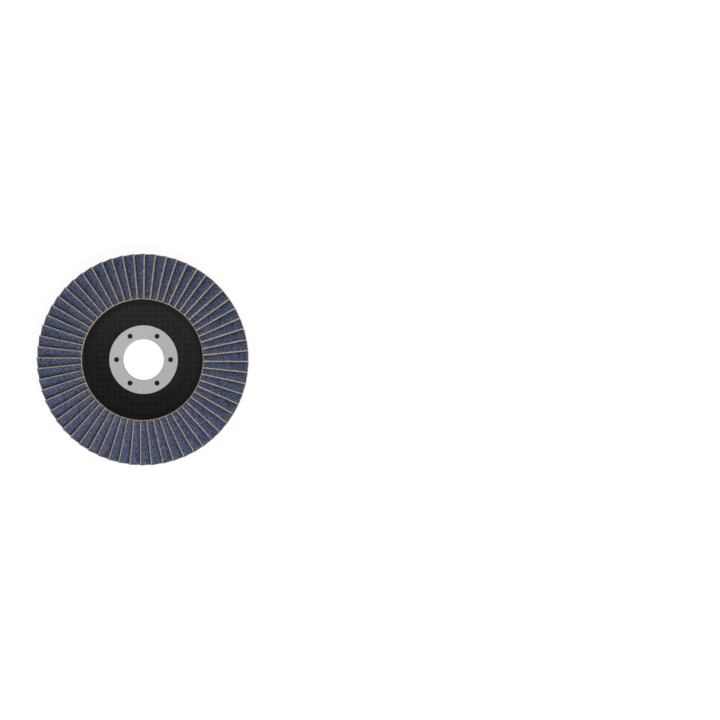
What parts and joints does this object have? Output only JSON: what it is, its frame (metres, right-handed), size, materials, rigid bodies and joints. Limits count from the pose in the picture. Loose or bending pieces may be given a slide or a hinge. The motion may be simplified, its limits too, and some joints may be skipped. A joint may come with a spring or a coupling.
{
  "type": "flap disc",
  "caption": "Conical flap disc for an angle grinder: overlapping abrasive cloth flaps fanned on a dished fibreglass backing plate with a flanged steel bore ring.",
  "frame": {"origin": "on the bore axis, at the flat back face of the hub, which is what the disc rests on", "axes": "+Z along the bore axis, out of the face that carries the flaps; +Y along the radial line of the first flap"},
  "size_m": [0.115, 0.115, 0.0149],
  "materials": {
    "backing_plate": "satin",
    "center_ring": "satin",
    "adhesive": "matte",
    "abrasive_cloth": "rough"
  },
  "bodies": {
    "root": {"backing_plate": "backing_plate", "center_ring": "center_ring", "adhesive_bed": "adhesive", "flap_pair_01": "abrasive_cloth", "flap_pair_02": "abrasive_cloth", "flap_pair_03": "abrasive_cloth", "flap_pair_04": "abrasive_cloth", "flap_pair_05": "abrasive_cloth", "flap_pair_06": "abrasive_cloth", "flap_pair_07": "abrasive_cloth", "flap_pair_08": "abrasive_cloth", "flap_pair_09": "abrasive_cloth", "flap_pair_10": "abrasive_cloth", "flap_pair_11": "abrasive_cloth", "flap_pair_12": "abrasive_cloth", "flap_pair_13": "abrasive_cloth", "flap_pair_14": "abrasive_cloth", "flap_pair_15": "abrasive_cloth", "flap_pair_16": "abrasive_cloth", "flap_pair_17": "abrasive_cloth", "flap_pair_18": "abrasive_cloth", "flap_pair_19": "abrasive_cloth", "flap_pair_20": "abrasive_cloth", "flap_pair_21": "abrasive_cloth", "flap_pair_22": "abrasive_cloth", "flap_pair_23": "abrasive_cloth", "flap_pair_24": "abrasive_cloth", "flap_pair_25": "abrasive_cloth", "flap_pair_26": "abrasive_cloth", "flap_pair_27": "abrasive_cloth", "flap_pair_28": "abrasive_cloth", "flap_pair_29": "abrasive_cloth", "flap_pair_30": "abrasive_cloth"}
  },
  "joints": []
}
